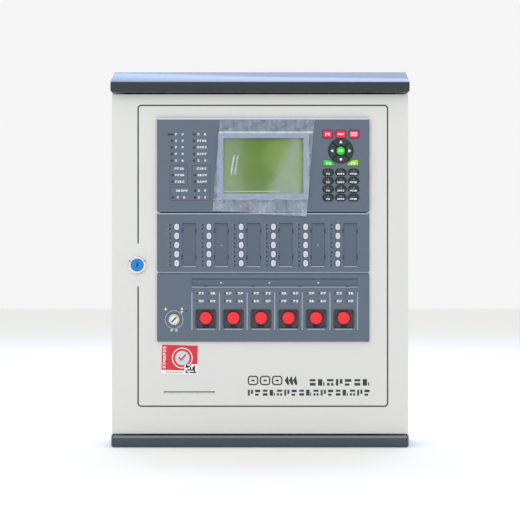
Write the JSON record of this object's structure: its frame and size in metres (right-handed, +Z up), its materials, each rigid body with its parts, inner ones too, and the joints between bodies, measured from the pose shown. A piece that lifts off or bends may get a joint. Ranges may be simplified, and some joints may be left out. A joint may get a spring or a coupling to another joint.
{
  "type": "fire alarm control panel",
  "caption": "Wall-hung fire alarm control panel: steel cabinet with a hinged full-size door carrying display, keypad, zone keys, release buttons, key switch and strip printer.",
  "frame": {"origin": "centre of the back face of the cabinet, on the wall plane", "axes": "+Z up, +X to the right seen from the front, +Y into the wall; the front faces -Y"},
  "size_m": [0.38, 0.136, 0.48],
  "materials": {
    "light_paint": "satin light grey powder coat",
    "slate_paint": "satin dark slate powder coat",
    "zinc_steel": "zinc-plated sheet",
    "bright_metal": "polished nickel plating",
    "grey_plastic": "satin blue-grey moulding",
    "black_plastic": "moulded black",
    "clear_film": "clear protective film",
    "screen_glass": "clear window",
    "lcd_green": "yellow-green display",
    "circuit_board": "solder-masked board",
    "terminal_green": "moulded green",
    "red_plastic": "moulded red",
    "red_rubber": "silicone key",
    "green_rubber": "silicone key",
    "lime_rubber": "silicone key",
    "dark_rubber": "silicone key",
    "white_rubber": "silicone key",
    "blue_plastic": "moulded blue",
    "white_paper": "thermal paper",
    "label_print": "printed sticker"
  },
  "bodies": {
    "cabinet": {"back_box": "light_paint", "top_cap": "slate_paint", "base_trim": "slate_paint", "upper_pivot_pin": "zinc_steel", "lower_pivot_pin": "zinc_steel", "chassis_plate": "zinc_steel", "main_board": "circuit_board", "field_terminal_strip": "terminal_green", "power_supply": "zinc_steel", "battery_left": "black_plastic", "battery_right": "black_plastic", "battery_strap": "zinc_steel", "switch_housing": "black_plastic", "speaker": "black_plastic", "cable_grommet": "dark_rubber"},
    "door": {"door_panel": "light_paint", "upper_fascia": "grey_plastic", "zone_fascia": "grey_plastic", "manual_fascia": "grey_plastic", "lcd_bezel": "grey_plastic", "lcd_window": "screen_glass", "lcd_module": "lcd_green", "display_film": "clear_film", "control_board": "circuit_board", "lock_barrel": "bright_metal", "key_switch_body": "bright_metal", "printer_body": "black_plastic", "printer_mechanism": "zinc_steel", "inspection_label": "label_print"},
    "lock_plug": {"lock_plug": "blue_plastic", "lock_cam": "zinc_steel"},
    "key_switch_plug": {"key_switch_plug": "bright_metal"},
    "platen_roller": {"platen_roller": "dark_rubber"},
    "paper_roll": {"paper_roll": "white_paper"},
    "mains_rocker": {"mains_rocker": "red_plastic"},
    "battery_rocker": {"battery_rocker": "dark_rubber"},
    "release_button_1": {"release_button_1": "red_plastic"},
    "release_button_2": {"release_button_2": "red_plastic"},
    "release_button_3": {"release_button_3": "red_plastic"},
    "release_button_4": {"release_button_4": "red_plastic"},
    "release_button_5": {"release_button_5": "red_plastic"},
    "release_button_6": {"release_button_6": "red_plastic"},
    "zone_key_strip_1": {"zone_key_strip_1": "white_rubber"},
    "zone_key_strip_2": {"zone_key_strip_2": "white_rubber"},
    "zone_key_strip_3": {"zone_key_strip_3": "white_rubber"},
    "zone_key_strip_4": {"zone_key_strip_4": "white_rubber"},
    "zone_key_strip_5": {"zone_key_strip_5": "white_rubber"},
    "zone_key_strip_6": {"zone_key_strip_6": "white_rubber"},
    "red_key_1": {"red_key_1": "red_rubber"},
    "red_key_2": {"red_key_2": "red_rubber"},
    "red_key_3": {"red_key_3": "red_rubber"},
    "nav_up": {"nav_up": "dark_rubber"},
    "nav_down": {"nav_down": "dark_rubber"},
    "nav_left": {"nav_left": "dark_rubber"},
    "nav_right": {"nav_right": "dark_rubber"},
    "nav_ok": {"nav_ok": "green_rubber"},
    "confirm_key": {"confirm_key": "green_rubber"},
    "cancel_key": {"cancel_key": "lime_rubber"},
    "number_key_mat": {"number_key_mat": "dark_rubber"}
  },
  "joints": [
    {"name": "door_hinge", "type": "hinge", "parent": "cabinet", "child": "door", "pos_m": [0.1845, -0.108, 0], "axis": [0, 0, 1], "range_deg": [0, 110]},
    {"name": "door_lock", "type": "hinge", "parent": "door", "child": "lock_plug", "pos_m": [-0.1564, -0.11, -0.0082], "axis": [0, 1, 0], "range_deg": [0, 90]},
    {"name": "key_switch", "type": "hinge", "parent": "door", "child": "key_switch_plug", "pos_m": [-0.1094, -0.116, -0.0778], "axis": [0, 1, 0], "range_deg": [0, 90]},
    {"name": "paper_feed", "type": "hinge", "parent": "door", "child": "platen_roller", "pos_m": [-0.0902, -0.1152, -0.1767], "axis": [1, 0, 0], "continuous": true},
    {"name": "paper_unwind", "type": "hinge", "parent": "door", "child": "paper_roll", "pos_m": [-0.0902, -0.0927, -0.1685], "axis": [1, 0, 0], "continuous": true},
    {"name": "mains_switch", "type": "hinge", "parent": "cabinet", "child": "mains_rocker", "pos_m": [0.078, -0.0343, -0.0195], "axis": [-1, 0, 0], "range_deg": [0, 20]},
    {"name": "battery_switch", "type": "hinge", "parent": "cabinet", "child": "battery_rocker", "pos_m": [0.108, -0.0343, -0.0195], "axis": [-1, 0, 0], "range_deg": [0, 20]},
    {"name": "release_1_press", "type": "slide", "parent": "door", "child": "release_button_1", "axis": [0, 1, 0], "range_m": [0, 0.003], "stiffness_N_per_m": 400, "springref_m": -0.003},
    {"name": "release_2_press", "type": "slide", "parent": "door", "child": "release_button_2", "axis": [0, 1, 0], "range_m": [0, 0.003], "stiffness_N_per_m": 400, "springref_m": -0.003},
    {"name": "release_3_press", "type": "slide", "parent": "door", "child": "release_button_3", "axis": [0, 1, 0], "range_m": [0, 0.003], "stiffness_N_per_m": 400, "springref_m": -0.003},
    {"name": "release_4_press", "type": "slide", "parent": "door", "child": "release_button_4", "axis": [0, 1, 0], "range_m": [0, 0.003], "stiffness_N_per_m": 400, "springref_m": -0.003},
    {"name": "release_5_press", "type": "slide", "parent": "door", "child": "release_button_5", "axis": [0, 1, 0], "range_m": [0, 0.003], "stiffness_N_per_m": 400, "springref_m": -0.003},
    {"name": "release_6_press", "type": "slide", "parent": "door", "child": "release_button_6", "axis": [0, 1, 0], "range_m": [0, 0.003], "stiffness_N_per_m": 400, "springref_m": -0.003},
    {"name": "zone_strip_1_press", "type": "slide", "parent": "door", "child": "zone_key_strip_1", "axis": [0, 1, 0], "range_m": [0, 0.001], "stiffness_N_per_m": 600, "springref_m": -0.001},
    {"name": "zone_strip_2_press", "type": "slide", "parent": "door", "child": "zone_key_strip_2", "axis": [0, 1, 0], "range_m": [0, 0.001], "stiffness_N_per_m": 600, "springref_m": -0.001},
    {"name": "zone_strip_3_press", "type": "slide", "parent": "door", "child": "zone_key_strip_3", "axis": [0, 1, 0], "range_m": [0, 0.001], "stiffness_N_per_m": 600, "springref_m": -0.001},
    {"name": "zone_strip_4_press", "type": "slide", "parent": "door", "child": "zone_key_strip_4", "axis": [0, 1, 0], "range_m": [0, 0.001], "stiffness_N_per_m": 600, "springref_m": -0.001},
    {"name": "zone_strip_5_press", "type": "slide", "parent": "door", "child": "zone_key_strip_5", "axis": [0, 1, 0], "range_m": [0, 0.001], "stiffness_N_per_m": 600, "springref_m": -0.001},
    {"name": "zone_strip_6_press", "type": "slide", "parent": "door", "child": "zone_key_strip_6", "axis": [0, 1, 0], "range_m": [0, 0.001], "stiffness_N_per_m": 600, "springref_m": -0.001},
    {"name": "red_key_1_press", "type": "slide", "parent": "door", "child": "red_key_1", "axis": [0, 1, 0], "range_m": [0, 0.001], "stiffness_N_per_m": 400, "springref_m": -0.001},
    {"name": "red_key_2_press", "type": "slide", "parent": "door", "child": "red_key_2", "axis": [0, 1, 0], "range_m": [0, 0.001], "stiffness_N_per_m": 400, "springref_m": -0.001},
    {"name": "red_key_3_press", "type": "slide", "parent": "door", "child": "red_key_3", "axis": [0, 1, 0], "range_m": [0, 0.001], "stiffness_N_per_m": 400, "springref_m": -0.001},
    {"name": "nav_up_press", "type": "slide", "parent": "door", "child": "nav_up", "axis": [0, 1, 0], "range_m": [0, 0.001], "stiffness_N_per_m": 400, "springref_m": -0.001},
    {"name": "nav_down_press", "type": "slide", "parent": "door", "child": "nav_down", "axis": [0, 1, 0], "range_m": [0, 0.001], "stiffness_N_per_m": 400, "springref_m": -0.001},
    {"name": "nav_left_press", "type": "slide", "parent": "door", "child": "nav_left", "axis": [0, 1, 0], "range_m": [0, 0.001], "stiffness_N_per_m": 400, "springref_m": -0.001},
    {"name": "nav_right_press", "type": "slide", "parent": "door", "child": "nav_right", "axis": [0, 1, 0], "range_m": [0, 0.001], "stiffness_N_per_m": 400, "springref_m": -0.001},
    {"name": "nav_ok_press", "type": "slide", "parent": "door", "child": "nav_ok", "axis": [0, 1, 0], "range_m": [0, 0.001], "stiffness_N_per_m": 400, "springref_m": -0.001},
    {"name": "confirm_press", "type": "slide", "parent": "door", "child": "confirm_key", "axis": [0, 1, 0], "range_m": [0, 0.001], "stiffness_N_per_m": 400, "springref_m": -0.001},
    {"name": "cancel_press", "type": "slide", "parent": "door", "child": "cancel_key", "axis": [0, 1, 0], "range_m": [0, 0.001], "stiffness_N_per_m": 400, "springref_m": -0.001},
    {"name": "number_keys_press", "type": "slide", "parent": "door", "child": "number_key_mat", "axis": [0, 1, 0], "range_m": [0, 0.001], "stiffness_N_per_m": 900, "springref_m": -0.001}
  ],
  "couplings": [
    {"joint": "paper_unwind", "follows": "paper_feed", "ratio": 0.27778}
  ]
}
